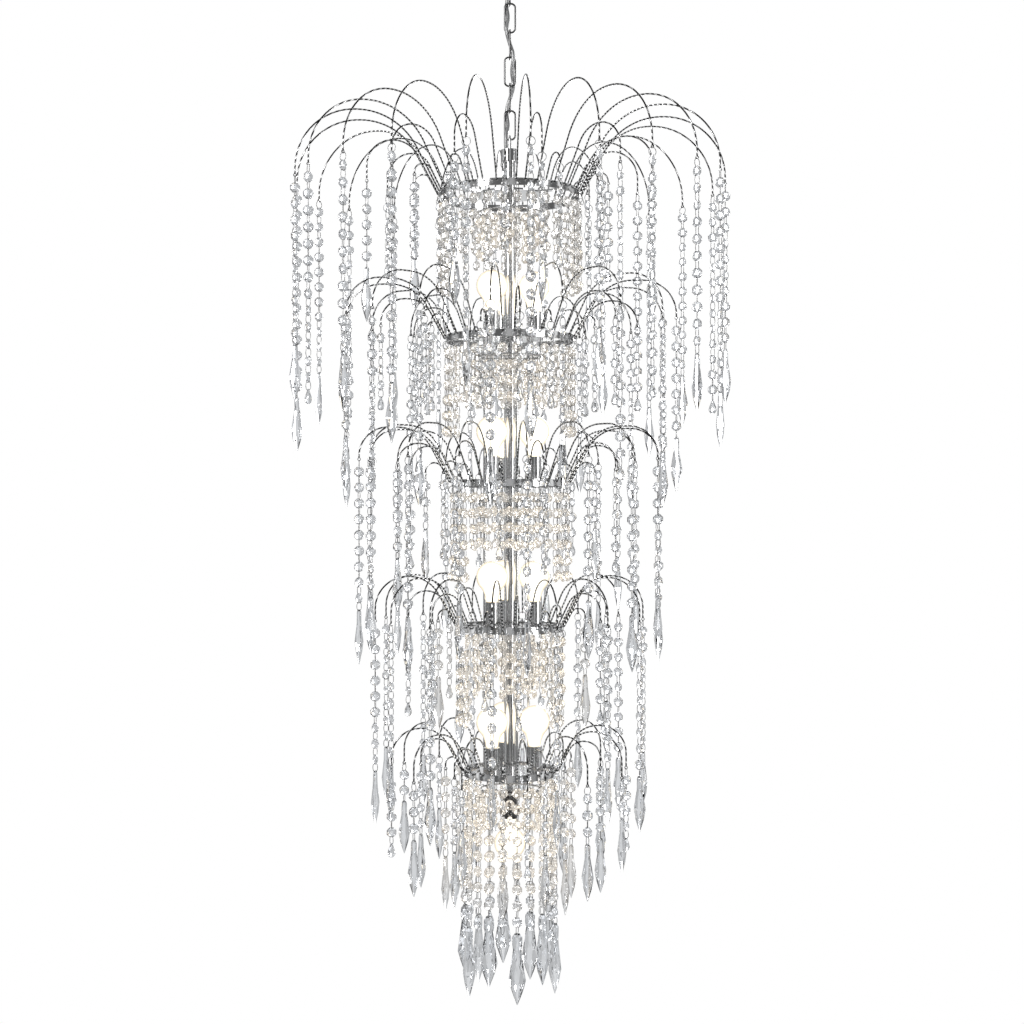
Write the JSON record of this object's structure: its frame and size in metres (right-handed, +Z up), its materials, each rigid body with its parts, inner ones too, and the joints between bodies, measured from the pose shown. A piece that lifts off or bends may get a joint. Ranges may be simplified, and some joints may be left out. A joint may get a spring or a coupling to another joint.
{
  "type": "crystal chandelier",
  "caption": "Tall tiered chandelier: ring frames on a column, fans of curved wire arms and hanging strands of faceted crystal beads, upright lamps, a chain and a ceiling canopy.",
  "frame": {"origin": "on the vertical axis at the face of the ceiling, midway between the two ceiling screws", "axes": "+Z up along the chain and column, +X along the ceiling bracket, -Y towards the viewer"},
  "size_m": [0.633, 0.6315, 1.5289],
  "materials": {
    "chrome": "polished chrome plate",
    "arm_wire": "bright twisted wire",
    "zinc": "zinc plate",
    "brass": "machined brass",
    "block": "moulded plastic",
    "sheath": "clear sheath over tinned braid",
    "crystal": "cut and polished clear glass",
    "lamp_glass": "opal glass",
    "holder": "polished chrome plate",
    "dark_metal": "dark lacquer",
    "black": "black moulded plastic"
  },
  "bodies": {
    "ceiling_mount": {"ceiling_bracket": "zinc", "terminal_block": "block", "threaded_nipple": "brass", "nipple_nuts": "brass", "ceiling_loop": "chrome", "supply_cable": "sheath"},
    "canopy": {"canopy": "chrome", "collar_ring": "chrome"},
    "link_0": {"chain_link_0": "chrome"},
    "link_1": {"chain_link_1": "chrome"},
    "link_2": {"chain_link_2": "chrome"},
    "link_3": {"chain_link_3": "chrome"},
    "link_4": {"chain_link_4": "chrome"},
    "link_5": {"chain_link_5": "chrome"},
    "chandelier": {"top_loop": "chrome", "column_tube": "chrome", "tie_rods": "chrome", "inner_hoops": "chrome", "inner_strands": "crystal", "lamp_holders": "holder", "pendant_stem": "dark_metal", "pendant_holder": "black", "tier_frame_1": "chrome", "arms_tier_1": "arm_wire", "arm_strands_tier_1": "crystal", "curtain_tier_1": "crystal", "tier_frame_2": "chrome", "arms_tier_2": "arm_wire", "arm_strands_tier_2": "crystal", "curtain_tier_2": "crystal", "tier_frame_3": "chrome", "arms_tier_3": "arm_wire", "arm_strands_tier_3": "crystal", "curtain_tier_3": "crystal", "tier_frame_4": "chrome", "arms_tier_4": "arm_wire", "arm_strands_tier_4": "crystal", "curtain_tier_4": "crystal", "tier_frame_5": "chrome", "arms_tier_5": "arm_wire", "arm_strands_tier_5": "crystal", "curtain_tier_5": "crystal"},
    "bulb_1": {"bulb_1": "lamp_glass"},
    "bulb_2": {"bulb_2": "lamp_glass"},
    "bulb_3": {"bulb_3": "lamp_glass"},
    "bulb_4": {"bulb_4": "lamp_glass"},
    "bulb_5": {"bulb_5": "lamp_glass"},
    "bulb_6": {"bulb_6": "lamp_glass"},
    "bulb_7": {"bulb_7": "lamp_glass"},
    "bulb_8": {"bulb_8": "lamp_glass"},
    "bulb_9": {"bulb_9": "lamp_glass"},
    "bulb_10": {"bulb_10": "lamp_glass"},
    "bulb_11": {"bulb_11": "lamp_glass"},
    "bulb_12": {"bulb_12": "lamp_glass"},
    "bulb_13": {"bulb_13": "lamp_glass"},
    "strand_1": {"swing_strand_1": "crystal"},
    "strand_2": {"swing_strand_2": "crystal"},
    "strand_3": {"swing_strand_3": "crystal"},
    "strand_4": {"swing_strand_4": "crystal"},
    "strand_5": {"swing_strand_5": "crystal"}
  },
  "joints": [
    {"name": "canopy_slide", "type": "slide", "parent": "ceiling_mount", "child": "canopy", "axis": [0, 0, 1], "range_m": [-0.04, 0]},
    {"name": "link_0_swing", "type": "hinge", "parent": "ceiling_mount", "child": "link_0", "pos_m": [0, 0, -0.0746], "axis": [1, 0, 0], "range_deg": [-8, 8], "deforming": ["supply_cable"]},
    {"name": "link_1_swing", "type": "hinge", "parent": "link_0", "child": "link_1", "pos_m": [0, 0, -0.1124], "axis": [0, 1, 0], "range_deg": [-8, 8], "deforming": ["supply_cable"]},
    {"name": "link_2_swing", "type": "hinge", "parent": "link_1", "child": "link_2", "pos_m": [0, 0, -0.1509], "axis": [1, 0, 0], "range_deg": [-8, 8], "deforming": ["supply_cable"]},
    {"name": "link_3_swing", "type": "hinge", "parent": "link_2", "child": "link_3", "pos_m": [0, 0, -0.1894], "axis": [0, 1, 0], "range_deg": [-8, 8], "deforming": ["supply_cable"]},
    {"name": "link_4_swing", "type": "hinge", "parent": "link_3", "child": "link_4", "pos_m": [0, 0, -0.2279], "axis": [1, 0, 0], "range_deg": [-8, 8], "deforming": ["supply_cable"]},
    {"name": "link_5_swing", "type": "hinge", "parent": "link_4", "child": "link_5", "pos_m": [0, 0, -0.2664], "axis": [0, 1, 0], "range_deg": [-8, 8], "deforming": ["supply_cable"]},
    {"name": "chandelier_swing", "type": "hinge", "parent": "link_5", "child": "chandelier", "pos_m": [0, 0, -0.3049], "axis": [1, 0, 0], "range_deg": [-8, 8], "deforming": ["supply_cable"]},
    {"name": "bulb_1_lift", "type": "slide", "parent": "chandelier", "child": "bulb_1", "axis": [0, 0, 1], "range_m": [0, 0.026]},
    {"name": "bulb_2_lift", "type": "slide", "parent": "chandelier", "child": "bulb_2", "axis": [0, 0, 1], "range_m": [0, 0.026]},
    {"name": "bulb_3_lift", "type": "slide", "parent": "chandelier", "child": "bulb_3", "axis": [0, 0, 1], "range_m": [0, 0.026]},
    {"name": "bulb_4_lift", "type": "slide", "parent": "chandelier", "child": "bulb_4", "axis": [0, 0, 1], "range_m": [0, 0.026]},
    {"name": "bulb_5_lift", "type": "slide", "parent": "chandelier", "child": "bulb_5", "axis": [0, 0, 1], "range_m": [0, 0.026]},
    {"name": "bulb_6_lift", "type": "slide", "parent": "chandelier", "child": "bulb_6", "axis": [0, 0, 1], "range_m": [0, 0.026]},
    {"name": "bulb_7_lift", "type": "slide", "parent": "chandelier", "child": "bulb_7", "axis": [0, 0, 1], "range_m": [0, 0.026]},
    {"name": "bulb_8_lift", "type": "slide", "parent": "chandelier", "child": "bulb_8", "axis": [0, 0, 1], "range_m": [0, 0.026]},
    {"name": "bulb_9_lift", "type": "slide", "parent": "chandelier", "child": "bulb_9", "axis": [0, 0, 1], "range_m": [0, 0.026]},
    {"name": "bulb_10_lift", "type": "slide", "parent": "chandelier", "child": "bulb_10", "axis": [0, 0, 1], "range_m": [0, 0.026]},
    {"name": "bulb_11_lift", "type": "slide", "parent": "chandelier", "child": "bulb_11", "axis": [0, 0, 1], "range_m": [0, 0.026]},
    {"name": "bulb_12_lift", "type": "slide", "parent": "chandelier", "child": "bulb_12", "axis": [0, 0, 1], "range_m": [0, 0.026]},
    {"name": "bulb_13_pull", "type": "slide", "parent": "chandelier", "child": "bulb_13", "axis": [0, 0, 1], "range_m": [-0.026, 0]},
    {"name": "strand_1_swing", "type": "hinge", "parent": "chandelier", "child": "strand_1", "pos_m": [0.02631, -0.30687, -0.371], "axis": [-0.9963, -0.0854, 0], "range_deg": [-4, 25]},
    {"name": "strand_2_swing", "type": "hinge", "parent": "chandelier", "child": "strand_2", "pos_m": [-0.02488, -0.2367, -0.565], "axis": [-0.9945, 0.1045, 0], "range_deg": [-4, 25]},
    {"name": "strand_3_swing", "type": "hinge", "parent": "chandelier", "child": "strand_3", "pos_m": [0.02258, -0.21482, -0.765], "axis": [-0.9945, -0.1045, 0], "range_deg": [-4, 25]},
    {"name": "strand_4_swing", "type": "hinge", "parent": "chandelier", "child": "strand_4", "pos_m": [-0.02352, -0.19156, -0.995], "axis": [-0.9925, 0.1219, 0], "range_deg": [-4, 25]},
    {"name": "strand_5_swing", "type": "hinge", "parent": "chandelier", "child": "strand_5", "pos_m": [0.02366, -0.16835, -1.211], "axis": [-0.9903, -0.1392, 0], "range_deg": [-4, 25]}
  ]
}
